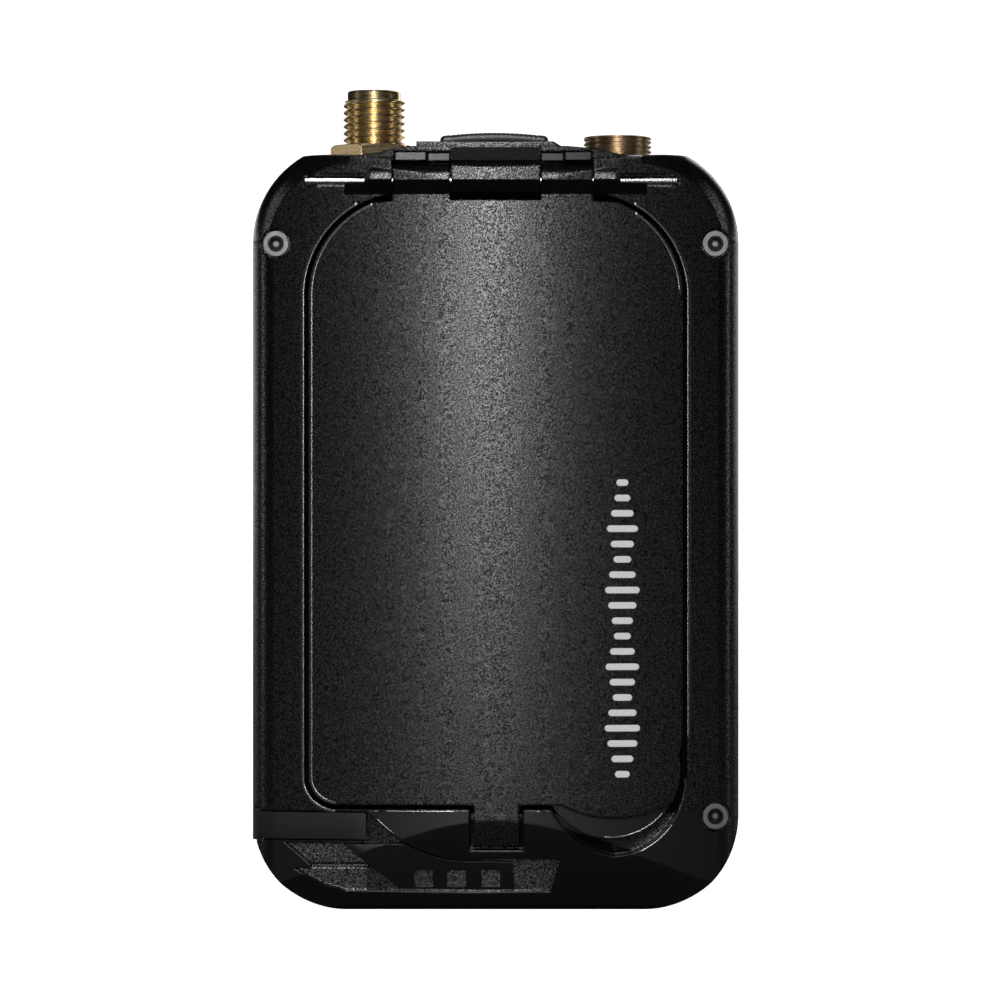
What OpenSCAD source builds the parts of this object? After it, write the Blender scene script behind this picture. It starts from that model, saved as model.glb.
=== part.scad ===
// Wireless bodypack transmitter: cast two-part case, hinged battery door, sliding latch,
// antenna and microphone sockets on top, three AAA cells inside.
// Frame: +Z up (sockets on top), battery door faces -Y, +X to the right seen from the door.
// Origin: bottom centre of the bounding box. Units: millimetres.

/* [Body] */
// Width, side to side
body_w = 49.6; // [49:0.1:51]
// Depth, door face to clip face
body_d = 16; // [16:0.1:17]
// Height of the flat shoulders
body_h = 76.7; // [76.6:0.1:77]
// Radius of the upper corners
top_corner_r = 10; // [9.8:0.1:10.4]
// Radius of the lower corners
low_corner_r = 10; // [9:0.1:10.4]
// Radius of the bulge across the door face
arch_r = 110; // [100:1:200]
// Rounding of the long edges on the door side
side_r = 3.3; // [2:0.1:3.6]
// Rounding of the edges on the clip side
front_r = 3; // [2:0.1:3]
// Radius of the tuck-under below the door
tuck_r = 20; // [18:0.5:24]
// Distance from the clip face to the joint between the case halves
cover_t = 2.4; // [2:0.1:3]

/* [Door] */
// Door width
door_w = 37.8; // [36:0.1:38]
// Wall thickness of the door
door_t = 1.6; // [1.2:0.1:2]
// Height of the lower door edge
door_z0 = 10.9; // [10.5:0.1:12]
// Height of the upper door edge beside the hinge
door_z1 = 72.4; // [71:0.1:73]
// Gap all round the door
door_gap = 0.45; // [0.3:0.05:0.6]
// Thickness of the seal under the door
seal_t = 0.6; // [0.4:0.1:0.8]

/* [Hinge] */
// Height of the hinge line
hinge_z = 74; // [73:0.1:75]
// Depth position of the hinge line
hinge_y = -5.95; // [-6.2:0.05:-5.5]
// Radius of the knuckles
knuckle_r = 1.9; // [1.5:0.05:2]
// Diameter of the hinge pin
hinge_pin_d = 1.2; // [1:0.1:1.4]

/* [Latch] */
// Travel of the latch slider
latch_travel = 5.5; // [4:0.5:5.5]
// Depth position of the floor the slider runs on
latch_floor_y = -4.9; // [-5.2:0.1:-4.6]

/* [Sockets] */
// Sideways distance of the antenna socket from the middle
sma_x = 12.5; // [12:0.1:13]
// Outer diameter of the antenna socket thread, 1/4 inch
sma_d = 6.35; // [6.35:0.01:6.35]
// Height of the tip of the antenna socket
sma_top = 83.7; // [82:0.1:85]
// Sideways distance of the microphone socket from the middle
mic_x = 12.55; // [12:0.05:13]
// Outer diameter of the microphone socket barrel, M7
mic_d = 7; // [7:0.1:7]
// Height of the rim of the microphone socket
mic_top = 79; // [78:0.1:80]

/* [Button] */
// Length of the power button cap
button_w = 11.1; // [10:0.1:11.1]
// Travel of the power button
button_travel = 0.5; // [0.3:0.1:0.6]

/* [Cells] */
// Diameter of one AAA cell
cell_d = 10.5; // [10.5:0.1:10.5]
// Length of the can of one AAA cell
cell_l = 43.3; // [43:0.1:43.5]
// Distance between the cells
cell_pitch = 11; // [10.8:0.1:11.2]

/* [Hidden] */
$fn = 96;
half_w = body_w / 2;
back_y = -body_d / 2;
front_y = body_d / 2;
joint_y = front_y - cover_t;
arch_cy = back_y + arch_r;
side_cx = half_w - side_r;
side_cy = arch_cy - sqrt(pow(arch_r - side_r, 2) - pow(side_cx, 2));
side_tx = side_cx * arch_r / (arch_r - side_r);
side_ty = arch_cy + (side_cy - arch_cy) * arch_r / (arch_r - side_r);
tuck_z = 12.5;
tuck_y = back_y - 0.25;
clip_y = front_y + 0.2;
tuck_cy = tuck_y + tuck_r;
foot_r = 1.2;
heel_r = 1.2;
foot_cy = tuck_cy - sqrt(pow(tuck_r - foot_r, 2) - pow(tuck_z - foot_r, 2));
foot_ty = tuck_cy + (foot_cy - tuck_cy) * tuck_r / (tuck_r - foot_r);
foot_tz = tuck_z + (foot_r - tuck_z) * tuck_r / (tuck_r - foot_r);
crown_r = 2.6;
top_cx = half_w - top_corner_r;
top_cz = 68;
low_cx = half_w - low_corner_r;
wall_t = 1.5;
pocket_depth = door_t + seal_t + 0.05;
bay_hw = 17.2;
bay_z0 = 11.9;
bay_z1 = 63.1;
cell_y = 0.15;
cell_z = 16.3;
screw_x = 22.3;
screw_top_z = 67.7;
screw_low_z = 9.6;
screw_spots = [[-screw_x, screw_top_z], [screw_x, screw_top_z], [screw_x, screw_low_z]];
socket_y = 1;
seat_z = 76.3;
nut_top = seat_z + 1.8;
plateau_z = 77.5;
window_top = 76.85;
bezel_z = 78.3;
button_z = 79.3;
button_x = -0.15;
port_z = 8.75;
port_y = 0.6;
strap_z0 = 7.4;
strap_z1 = 10.1;
flex_x = -24.3;
flex_y = -4.9;
hook_z0 = 7.1;
hook_z1 = 8.9;
grip_x = 11.7;
grip_z = 14.4;
grip_r = 7;
ledge_d = 0.5;
scoop_x = 11.3;
scoop_z = 13.45;
scoop_r = 7.8;
// Knuckle spans along the hinge line
collar_l = [-12.7, -10.5];
collar_r = [9.9, 12.2];
hood = [-4.5, 4.5];
door_knuckle_l = [-10.4, -4.6];
door_knuckle_r = [4.6, 9.8];

// ---------- shared outlines ----------

// Cross-section of the case seen from above (X, Y).
module plan_section() {
  intersection() {
    translate([0, arch_cy])
      circle(r = arch_r, $fn = 360);
    polygon([
      [-half_w, side_cy], [-side_tx, side_ty], [-side_tx, back_y - 1],
      [side_tx, back_y - 1], [side_tx, side_ty], [half_w, side_cy],
      [half_w, front_y - front_r], [half_w - front_r, front_y],
      [front_r - half_w, front_y], [-half_w, front_y - front_r]
    ]);
  }
  for (s = [-1, 1]) {
    translate([s * side_cx, side_cy])
      circle(r = side_r);
    translate([s * (half_w - front_r), front_y - front_r])
      circle(r = front_r);
  }
}

// Side profile of the case (Y, Z), without the tuck-under.
module side_profile() {
  translate([tuck_y, foot_tz])
    square([clip_y - tuck_y, body_h - crown_r - foot_tz]);
  translate([tuck_y + crown_r, foot_tz])
    square([clip_y - tuck_y - 2 * crown_r, body_h - foot_tz]);
  for (y = [tuck_y + crown_r, clip_y - crown_r])
    translate([y, body_h - crown_r])
      circle(r = crown_r);
  polygon([
    [foot_ty, foot_tz + 1], [foot_ty, foot_tz], [foot_cy, 0],
    [clip_y - heel_r, 0], [clip_y, heel_r], [clip_y, heel_r + 1]
  ]);
  translate([foot_cy - 0.1, foot_r])
    circle(r = foot_r);
  translate([clip_y - heel_r, heel_r])
    circle(r = heel_r);
}

// Outline of the case seen from the door side (X, Z), made smaller all round by d.
module face_outline(d = 0) {
  translate([d - half_w, low_corner_r])
    square([body_w - 2 * d, top_cz - low_corner_r]);
  translate([-low_cx, d])
    square([2 * low_cx, low_corner_r]);
  translate([-top_cx, top_cz - 1])
    square([2 * top_cx, top_corner_r + 1 - d]);
  for (s = [-1, 1]) {
    translate([s * low_cx, low_corner_r])
      circle(r = low_corner_r - d);
    translate([s * top_cx, top_cz])
      circle(r = top_corner_r - d);
  }
}

// Extrudes a face outline (X, Z) from depth y0 to depth y1.
module face_extrude(y0, y1) {
  translate([0, y1, 0])
    rotate([90, 0, 0])
      linear_extrude(y1 - y0)
        children();
}

// Extrudes a side profile (Y, Z) from x0 to x1.
module side_extrude(x0, x1) {
  translate([x0, 0, 0])
    rotate([90, 0, 90])
      linear_extrude(x1 - x0)
        children();
}

// Cylinder along X on the hinge line.
module hinge_rod(x0, x1, r) {
  translate([x0, hinge_y, hinge_z])
    rotate([0, 90, 0])
      cylinder(h = x1 - x0, r = r);
}

// Cylinder along Y.
module rod_y(x, z, y0, y1, r) {
  translate([x, y1, z])
    rotate([90, 0, 0])
      cylinder(h = y1 - y0, r = r);
}

// Ring of waste outside a rounded rim: ring radius, rounding radius, lean of the last tangent.
module rim_waste(ring, r, lean) {
  px = ring + r * cos(lean);
  pz = r * sin(lean);
  reach = 1.8;
  rotate_extrude()
    difference() {
      polygon([
        [px, pz], [px - reach * sin(lean), pz + reach * cos(lean)],
        [px - reach * sin(lean), r + 5], [ring + r + 1.5, r + 5],
        [ring + r + 1.5, 0], [ring + r - 0.02, 0]
      ]);
      translate([ring, 0])
        circle(r = r);
    }
}

// Waste at one corner of the case; s is the side, the box keeps it to its own quarter.
module corner_waste(s, cx, cy, cz, up, ring, r, lean, turn, facing) {
  intersection() {
    translate([s * cx, cy, cz])
      rotate([facing, 0, s * turn])
        rim_waste(ring, r, lean);
    translate([s > 0 ? cx : -cx - 20, -20, up ? cz : cz - 20])
      cube([20, 40, 20]);
  }
}

// The whole case as one solid with rounded edges.
module case_form() {
  top_cy = arch_cy - sqrt(pow(arch_r - side_r, 2) - pow(top_cx, 2));
  tilt = atan((side_cy - top_cy) / (side_cx - top_cx));
  difference() {
    intersection() {
      face_extrude(back_y - 1, front_y + 1)
        face_outline();
      translate([0, 0, -1])
        linear_extrude(body_h + 2)
          plan_section();
      side_extrude(-half_w - 1, half_w + 1)
        side_profile();
      tuck_form();
    }
    for (s = [-1, 1]) {
      corner_waste(s, top_cx, top_cy, top_cz, true, top_corner_r - side_r, side_r, 60, tilt, 90);
      corner_waste(s, low_cx, side_cy, low_corner_r, false,
        low_corner_r - side_r, side_r, 65, 0, 90);
      corner_waste(s, top_cx, front_y - front_r, top_cz, true,
        top_corner_r - front_r, front_r, 80, 0, -90);
      corner_waste(s, low_cx, front_y - front_r, low_corner_r, false,
        low_corner_r - front_r, front_r, 80, 0, -90);
    }
  }
}

// Everything inside the curve that tucks the case under the door, d deeper.
module tuck_form(d = 0) {
  r = tuck_r - d;
  far_y = 2 * body_d;
  curve = [for (a = [45 : -5 : 5]) [tuck_cy - r * cos(a), tuck_z - r * sin(a)]];
  side_extrude(-half_w - 2, half_w + 2)
    polygon(concat(curve, [
      [tuck_y + d, tuck_z],
      [tuck_y + d, body_h + 5],
      [far_y, body_h + 5],
      [far_y, curve[0][1]]
    ]));
}

// Everything deeper than d below the door-side surface.
module under_skin(d) {
  intersection() {
    linear_extrude(body_h + 3)
      translate([0, arch_cy])
        circle(r = arch_r - d, $fn = 360);
    tuck_form(d);
  }
}

// Rounded rectangle of the door or its pocket: half width, bottom, top and corner radii.
module door_outline(hw, z0, z1, top_r, left_r, right_r) {
  translate([-hw, z0 + right_r])
    square([2 * hw, z1 - top_r - z0 - right_r]);
  translate([-hw, z0 + left_r])
    square([hw, z1 - top_r - z0 - left_r]);
  translate([left_r - hw, z0])
    square([2 * hw - left_r - right_r, right_r + 1]);
  translate([top_r - hw, z1 - top_r - 1])
    square([2 * (hw - top_r), top_r + 1]);
  for (s = [-1, 1])
    translate([s * (hw - top_r), z1 - top_r])
      circle(r = top_r);
  translate([left_r - hw, z0 + left_r])
    circle(r = left_r);
  translate([hw - right_r, z0 + right_r])
    circle(r = right_r);
}

// Outline of the pocket the door sits in.
module pocket_outline() {
  door_outline(door_w / 2 + door_gap, door_z0 - door_gap, door_z1 + 0.35, 10.4, 3.2, 7.4);
  translate([-2.65, 6.3])
    square([5.45, 6]);
}

// Outline of the finger scoop beside the door lip.
module scoop_outline(r) {
  intersection() {
    union() {
      translate([scoop_x, scoop_z])
        circle(r = r);
      translate([scoop_x, scoop_z])
        square([door_w / 2 + door_gap - scoop_x, 4.4]);
    }
    translate([scoop_x + 1.95, scoop_z + 0.65])
      circle(r = r + 0.7);
    square([door_w / 2 + door_gap, 30]);
  }
}

// Outline of the recess the latch slider runs in.
module latch_outline() {
  difference() {
    polygon([
      [-21.3, 7.05], [-18.7, 4.85], [-18.7, 4.5], [-20.4, 4.45], [-17.4, 2.75], [-15.2, 2.1],
      [-2.5, 1.9], [5.6, 2], [6.6, 5.4], [-4.8, 5.4], [-13, 10], [-13.4, 7.05]
    ]);
    translate([-2.4, 18.9])
      circle(r = 13.6);
  }
}

// Long hole with round ends, long side along Y, cut along X.
module port_slot(x0, x1, long, short) {
  translate([x0, port_y, port_z])
    rotate([90, 0, 90])
      linear_extrude(x1 - x0)
        union() {
          square([long - short, short], center = true);
          for (s = [-1, 1])
            translate([s * (long - short) / 2, 0])
              circle(d = short);
        }
}

// ---------- case ----------

// Hollow spaces of the case, measured inside the skin.
module case_cavity() {
  // upper compartment for the board and the sockets
  difference() {
    intersection() {
      face_extrude(back_y, joint_y + 1)
        face_outline(wall_t);
      translate([-half_w, back_y, bay_z1 + 1.2])
        cube([body_w, body_d, body_h - 1.2 - bay_z1 - 1.2]);
      under_skin(pocket_depth + 1.2);
    }
    translate([-half_w, back_y - 1, hinge_z - 2.9])
      cube([body_w, 6.3, 10]);
    for (s = [-1, 1])
      rod_y(s * screw_x, screw_top_z, back_y, front_y, 2.1);
  }
  // side channels for the wiring
  for (s = [-1, 1])
    translate([s > 0 ? 18.6 : -half_w + wall_t, 0, 14])
      cube([half_w - wall_t - 18.6, front_y, bay_z1 - 12]);
  // lower compartment for the port and the latch
  difference() {
    intersection() {
      face_extrude(-3.4, joint_y + 1)
        face_outline(wall_t + 0.2);
      translate([-half_w, back_y, 1.6])
        cube([body_w, body_d, bay_z0 - 2.6]);
      under_skin(2);
    }
    rod_y(screw_x, screw_low_z, back_y, front_y, 2.1);
  }
}

// Back half of the case, still solid, with the raised middle of the top.
module housing_blank() {
  intersection() {
    case_form();
    translate([-half_w - 1, back_y - 1, -1])
      cube([body_w + 2, joint_y - back_y + 1, body_h + 2]);
  }
  face_extrude(-6.9, 5)
    polygon([
      [-14.2, 75.5], [-14.2, 76.35], [-10.2, 77.25], [-8.6, plateau_z],
      [7.2, plateau_z], [10, 77.25], [14.2, 76.35], [14.2, 75.5]
    ]);
}

// The blank with the counterbores and clearance holes of the case screws.
module housing_bored() {
  difference() {
    housing_blank();
    for (p = screw_spots) {
      rod_y(p[0], p[1], back_y - 1, -4.4, 1.5);
      rod_y(p[0], p[1], -5, front_y, 0.9);
    }
  }
}

// The same with its compartments and the battery bay.
module housing_hollow() {
  difference() {
    housing_bored();
    case_cavity();
    translate([-bay_hw, back_y - 1, bay_z0])
      cube([2 * bay_hw, body_d + 2, bay_z1 - bay_z0]);
  }
}

// The same with the door pocket, the finger scoop and the latch recess.
module housing_door_side() {
  difference() {
    housing_hollow();
    difference() {
      face_extrude(back_y - 1, 0)
        pocket_outline();
      under_skin(pocket_depth);
    }
    difference() {
      face_extrude(back_y - 1, 0)
        scoop_outline(scoop_r);
      under_skin(2.1);
    }
    face_extrude(back_y - 1, latch_floor_y)
      latch_outline();
  }
}

// The same with the seats and holes of the sockets and the button.
module housing_drilled() {
  difference() {
    housing_door_side();
    for (x = [-sma_x, mic_x]) {
      translate([x, socket_y, seat_z])
        cylinder(h = 2, r = 5);
      translate([x, socket_y, 69])
        cylinder(h = 6.5, r = 4.3);
    }
    translate([-sma_x, socket_y, 70])
      cylinder(h = 10, r = sma_d / 2 + 0.02);
    translate([mic_x, socket_y, 70])
      cylinder(h = 10, r = mic_d / 2 + 0.02);
    // button stem and pairing light
    translate([button_x, 0, 70])
      cylinder(h = 10, r = 1.06);
    translate([-7, 0, 70])
      cylinder(h = 10, r = 0.6);
  }
}

// The same with the room for the hinge, before the fixed knuckles are added.
module housing_hinged() {
  difference() {
    housing_drilled();
    // room for the knuckles of the door
    for (span = [[collar_l[1], hood[0]], [hood[1], collar_r[0]]]) {
      hinge_rod(span[0], span[1], knuckle_r + 0.12);
      translate([span[0], back_y - 1, door_z1 - 1])
        cube([span[1] - span[0], hinge_y - back_y + 1, hinge_z + knuckle_r + 0.12 - door_z1 + 1]);
    }
    // open channels that show the pin either side
    for (span = [[-19.4, -13.3], [12.6, 18.5]])
      translate([span[0], back_y - 1, hinge_z - 0.65])
        cube([span[1] - span[0], 2.5, 1.3]);
    // notches for the status windows
    for (span = [[-10.3, -4.5], [4.5, 9.8]])
      translate([span[0], back_y - 1, hinge_z + knuckle_r + 0.05])
        cube([span[1] - span[0], 3.6, window_top - hinge_z - knuckle_r + 0.05]);
  }
}

// Fixed knuckles: two collars and the hood in the middle.
module fixed_knuckles() {
  for (span = [collar_l, hood, collar_r])
    hinge_rod(span[0], span[1], knuckle_r);
  translate([hood[0], back_y + 0.3, hinge_z])
    cube([hood[1] - hood[0], 3, 1.2]);
  translate([hood[0], back_y + 0.7, hinge_z])
    cube([hood[1] - hood[0], 2.6, plateau_z - hinge_z]);
}

module main_housing() {
  color([0.13, 0.13, 0.14])
  difference() {
    union() {
      housing_hinged();
      fixed_knuckles();
    }
    hinge_rod(-19.4, 18.5, hinge_pin_d / 2 + 0.01);
    // slot of the latch bolt with its groove, and the opening for the hook of the door
    translate([-18.9, latch_floor_y - 1, 4.45])
      cube([8, 1.6, 0.35]);
    translate([-7.1 - latch_travel, latch_floor_y - 1, 4.4])
      cube([2.2 + latch_travel, 3, 0.7]);
    translate([-1.9, back_y, 6.5])
      cube([4.4, 5, 3]);
    // side port: hole, seat of the cap, seat of the strap and its anchor hole
    port_slot(-half_w - 1, -16, 9.04, 3.26);
    cap_space(0.12);
    strap_space(0.12);
    translate([-half_w - 1, -4.75, strap_z0 - 0.37])
      cube([2.4, 0.8, strap_z1 - strap_z0 + 0.74]);
    rod_y(-14.6, (strap_z0 + strap_z1) / 2, back_y, 0, 0.9);
  }
}

// Space of the cap over the side port, larger by g on the free edges.
module cap_space(g) {
  translate([-half_w - 1, -4.35 - g, strap_z0 - 0.25 - g])
    cube([1.9, 9.5 + 2 * g, strap_z1 - strap_z0 + 0.5 + 2 * g]);
}

// Space of the strap of the port cap on the door side, larger by g.
module strap_space(g) {
  difference() {
    translate([-half_w - 1, back_y - 1, strap_z0 - g])
      cube([half_w + 1 - 13.1 + g, 5, strap_z1 - strap_z0 + 2 * g]);
    difference() {
      under_skin(0.9 + g);
      translate([-half_w - 1, back_y - 1, 0])
        cube([half_w + 1 - side_cx, body_d, 20]);
    }
    translate([-side_cx, side_cy, 0])
      cylinder(h = 20, r = side_r - 0.9 - g);
  }
}

module front_cover() {
  color([0.14, 0.14, 0.15])
  difference() {
    union() {
      difference() {
        intersection() {
          case_form();
          translate([-half_w - 1, joint_y, -1])
            cube([body_w + 2, cover_t + 1, body_h + 2]);
        }
        // hollow inside
        face_extrude(joint_y - 1, front_y - wall_t)
          face_outline(2.6);
        // groove of the case gasket
        face_extrude(joint_y - 1, joint_y + 0.5)
          difference() {
            face_outline(0.75);
            face_outline(1.35);
          }
      }
      // screw posts
      for (p = screw_spots)
        intersection() {
          rod_y(p[0], p[1], joint_y, front_y - 1, 2);
          face_extrude(0, front_y)
            face_outline(1.6);
        }
    }
    for (p = screw_spots)
      rod_y(p[0], p[1], joint_y - 1, front_y - 1.2, 0.81);
  }
}

module case_gasket() {
  color([0.2, 0.2, 0.21])
  face_extrude(joint_y, joint_y + 0.48)
    difference() {
      intersection() {
        face_outline(0.77);
        translate([-half_w, 0])
          square([body_w, body_h - 1.2]);
      }
      face_outline(1.33);
    }
}

module case_screws() {
  color([0.4, 0.4, 0.42])
  for (p = screw_spots)
    difference() {
      union() {
        rod_y(p[0], p[1], -5.4, -4.4, 1.3);
        rod_y(p[0], p[1], -4.4, front_y - 1.4, 0.8);
      }
      rod_y(p[0], p[1], -5.6, -4.8, 0.6, $fn = 6);
    }
}

module hinge_pin() {
  color([0.7, 0.7, 0.72])
  hinge_rod(-19.3, 18.4, hinge_pin_d / 2);
}

module status_window(x0, x1, step) {
  z0 = hinge_z + knuckle_r + 0.1;
  color([0.06, 0.07, 0.07])
  difference() {
    translate([x0, -7.2, z0])
      cube([x1 - x0, 1.75, window_top - z0]);
    translate([step > 0 ? x1 - 2.4 : x0 - 1, -8, z0 - 1])
      cube([3.4, 1.6, 3]);
  }
}

module status_window_left() {
  status_window(-10.25, -4.55, 1);
}

module status_window_right() {
  status_window(4.55, 9.75, -1);
}

module button_bezel() {
  color([0.16, 0.16, 0.17])
  difference() {
    rotate([90, 0, 0])
      translate([0, 0, -3.1])
        linear_extrude(6.2)
          polygon([
            [-8.1, plateau_z],
            [-8.1, bezel_z],
            [5.9, bezel_z],
            [6.9, plateau_z + 0.2],
            [6.9, plateau_z]
          ]);
    translate([button_x - button_w / 2 - 0.1, -2.2, plateau_z - 1])
      cube([button_w + 0.2, 4.4, 4]);
    translate([-7, 0, plateau_z - 1])
      cylinder(h = 4, r = 0.6);
  }
}

module pairing_led_lens() {
  color([0.8, 0.85, 0.8])
  translate([-7, 0, 75.6])
    cylinder(h = bezel_z - 75.55, r = 0.55);
}

// ---------- sockets ----------

module sma_body() {
  color([0.83, 0.66, 0.3])
  translate([-sma_x, socket_y, 0])
    difference() {
      union() {
        translate([0, 0, 70.5])
          cylinder(h = nut_top - 70.5, r = sma_d / 2 - 0.3);
        translate([0, 0, nut_top])
          cylinder(h = sma_top - 1 - nut_top, r = sma_d / 2);
        translate([0, 0, sma_top - 1])
          cylinder(h = 1, r = 2.75);
        translate([0, 0, 73.9])
          cylinder(h = 1.55, r = 4.1);
      }
      translate([0, 0, 69])
        cylinder(h = 20, r = 2.05);
      translate([0, 0, sma_top - 1.9])
        cylinder(h = 3, r = 2.3);
    }
}

module sma_insulator() {
  color([0.95, 0.95, 0.93])
  translate([-sma_x, socket_y, 70.5])
    difference() {
      cylinder(h = sma_top - 1.9 - 70.5, r = 2.05);
      translate([0, 0, -1])
        cylinder(h = 20, r = 0.64);
    }
}

module sma_contact() {
  color([0.85, 0.7, 0.35])
  translate([-sma_x, socket_y, 69])
    difference() {
      cylinder(h = sma_top - 1.9 - 69, r = 0.64);
      translate([0, 0, 9])
        cylinder(h = 5, r = 0.47);
    }
}

module sma_nut() {
  color([0.85, 0.68, 0.32])
  translate([-sma_x, socket_y, seat_z + 0.4])
    rotate([0, 0, 15])
      difference() {
        intersection() {
          cylinder(h = 1.4, r = 4.62, $fn = 6);
          union() {
            cylinder(h = 1, r = 5);
            translate([0, 0, 1])
              cylinder(h = 0.41, r1 = 4.7, r2 = 4.2);
          }
        }
        translate([0, 0, -1])
          cylinder(h = 4, r = sma_d / 2 - 0.28);
      }
}

module sma_washer() {
  color([0.8, 0.65, 0.32])
  translate([-sma_x, socket_y, seat_z])
    difference() {
      cylinder(h = 0.4, r = 4.4);
      translate([0, 0, -1])
        cylinder(h = 3, r = sma_d / 2 - 0.28);
      translate([3, -0.2, -1])
        cube([3, 0.4, 3]);
    }
}

module mic_barrel() {
  color([0.72, 0.55, 0.3])
  translate([mic_x, socket_y, 0])
    difference() {
      union() {
        translate([0, 0, 68.5])
          cylinder(h = seat_z + 0.1 - 68.5, r = mic_d / 2 - 0.3);
        translate([0, 0, seat_z + 0.1])
          cylinder(h = mic_top - seat_z - 0.1, r = mic_d / 2);
        translate([0, 0, 74.1])
          cylinder(h = 1.35, r = 4.2);
      }
      translate([0, 0, 68])
        cylinder(h = 20, r = 2.2);
      translate([0, 0, 73])
        cylinder(h = 20, r = 2.5);
    }
}

module mic_insert() {
  color([0.1, 0.1, 0.1])
  translate([mic_x, socket_y, 68.5])
    difference() {
      cylinder(h = 4.5, r = 2.2);
      for (a = [30, 150, 270])
        rotate([0, 0, a])
          translate([1.25, 0, -1])
            cylinder(h = 8, r = 0.35);
    }
}

module mic_contacts() {
  color([0.85, 0.7, 0.35])
  translate([mic_x, socket_y, 67])
    for (a = [30, 150, 270])
      rotate([0, 0, a])
        translate([1.25, 0, 0])
          cylinder(h = 6, r = 0.35);
}

// ---------- electronics ----------

module main_board() {
  color([0.05, 0.3, 0.18])
  difference() {
    face_extrude(4.75, joint_y)
      intersection() {
        face_outline(2.7);
        translate([-22, 64.6])
          square([44, 9]);
      }
    for (s = [-1, 1])
      rod_y(s * screw_x, screw_top_z, 0, front_y, 2.3);
  }
}

module rf_shield() {
  color([0.72, 0.73, 0.74])
  difference() {
    translate([-9, 2.9, 65.2])
      cube([10, 1.85, 5.4]);
    translate([-8.8, 3.1, 65.4])
      cube([9.6, 2.85, 5]);
  }
}

module radio_chip() {
  color([0.08, 0.08, 0.08])
  translate([-6.5, 3.9, 65.9])
    cube([4, 0.85, 4]);
}

module audio_chip() {
  color([0.08, 0.08, 0.08])
  translate([4, 3.75, 65.5])
    cube([5, 1, 5]);
}

module tact_switch() {
  color([0.2, 0.2, 0.22])
  translate([button_x, 0, 0]) {
    translate([-2.2, -1.5, 71.2])
      cube([4.4, 6.25, 2.2]);
    translate([0, 0, 73.3])
      cylinder(h = 0.8, r = 0.8);
  }
}

module usb_shell() {
  color([0.75, 0.76, 0.78])
  difference() {
    port_slot(-23.85, -16.8, 8.94, 3.16);
    port_slot(-25, -17.1, 8.44, 2.66);
  }
}

module usb_tongue() {
  color([0.08, 0.08, 0.08])
  translate([-22.8, port_y - 3.35, port_z - 0.35])
    cube([5.7, 6.7, 0.7]);
}

module port_board() {
  color([0.05, 0.3, 0.18])
  translate([-22, -2.6, port_z - 1.58 - 0.8])
    cube([8, 7.4, 0.8]);
}

module port_strap() {
  color([0.1, 0.1, 0.1])
  difference() {
    union() {
      difference() {
        intersection() {
          translate([-half_w, back_y, strap_z0])
            cube([half_w - 13.1, 4.4, strap_z1 - strap_z0]);
          union() {
            under_skin(0);
            translate([-30, -7.4, 0])
              cube([8, 5, 20]);
          }
          linear_extrude(20)
            plan_section();
        }
        difference() {
          under_skin(0.9);
          translate([-half_w - 1, back_y - 1, 0])
            cube([half_w + 1 - side_cx, body_d, 20]);
        }
        translate([-side_cx, side_cy, 0])
          cylinder(h = 20, r = side_r - 0.9);
      }
      rod_y(-14.6, (strap_z0 + strap_z1) / 2, -6.8, -3.6, 0.88);
    }
    // the flexing line, where the cap begins
    flex_cut(0.06, 12);
  }
}

// Wedge that parts the cap from the strap at the flexing line.
module flex_cut(gap, h) {
  translate([flex_x, flex_y, 0])
    rotate([0, 0, 41])
      translate([-3, gap, 0])
        cube([8, 8, h]);
}

module port_cap() {
  color([0.1, 0.1, 0.1])
  union() {
    difference() {
      intersection() {
        translate([-half_w, -4.3, strap_z0 - 0.25])
          cube([0.88, 9.4, strap_z1 - strap_z0 + 0.5]);
        linear_extrude(20)
          plan_section();
      }
    }
    intersection() {
      difference() {
        linear_extrude(20)
          plan_section();
        translate([-side_cx, side_cy, -1])
          cylinder(h = 22, r = side_r - 0.88);
      }
      translate([-half_w, flex_y - 2, strap_z0])
        cube([2.4, -4.2 - flex_y + 2.1, strap_z1 - strap_z0]);
      flex_cut(0.1, 20);
    }
    port_slot(-23.95, -22.95, 7.9, 2.3);
  }
}

// ---------- battery parts ----------

module battery_tray() {
  color([0.12, 0.12, 0.13])
  difference() {
    translate([-bay_hw + 0.05, -4.1, bay_z0 + 0.05])
      cube([2 * bay_hw - 0.1, 10.3, bay_z1 - bay_z0 - 0.1]);
    for (i = [-1, 0, 1])
      translate([i * cell_pitch, cell_y, bay_z0 + 1.2])
        cylinder(h = bay_z1 - bay_z0 - 2.4, r = cell_d / 2 + 0.04);
    translate([-bay_hw + 0.6, -10, bay_z0 + 1.2])
      cube([2 * bay_hw - 1.2, 10 + cell_y, bay_z1 - bay_z0 - 2.4]);
    for (x = [-17.2, 17.2])
      translate([x - 1, 5.5, 14])
        cube([2, 4, 46]);
  }
}

module battery_springs() {
  color([0.78, 0.79, 0.8])
  for (i = [-1, 0, 1])
    translate([i * cell_pitch, cell_y, bay_z0 + 1.25]) {
      cylinder(h = 0.3, r = 3.6);
      for (k = [0 : 3])
        translate([0, 0, 0.3 + k * 0.7])
          difference() {
            cylinder(h = 0.7, r1 = 3.4 - k * 0.5, r2 = 2.9 - k * 0.5);
            translate([0, 0, -0.1])
              cylinder(h = 0.9, r1 = 2.8 - k * 0.5, r2 = 2.3 - k * 0.5);
          }
    }
}

module battery_contacts() {
  color([0.78, 0.79, 0.8])
  for (i = [-1, 0, 1])
    translate([i * cell_pitch, cell_y, 0]) {
      translate([-3.5, -3, bay_z1 - 1.55])
        cube([7, 6, 0.3]);
      translate([0, 0, bay_z1 - 2.25])
        cylinder(h = 0.7, r = 2);
    }
}

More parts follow.
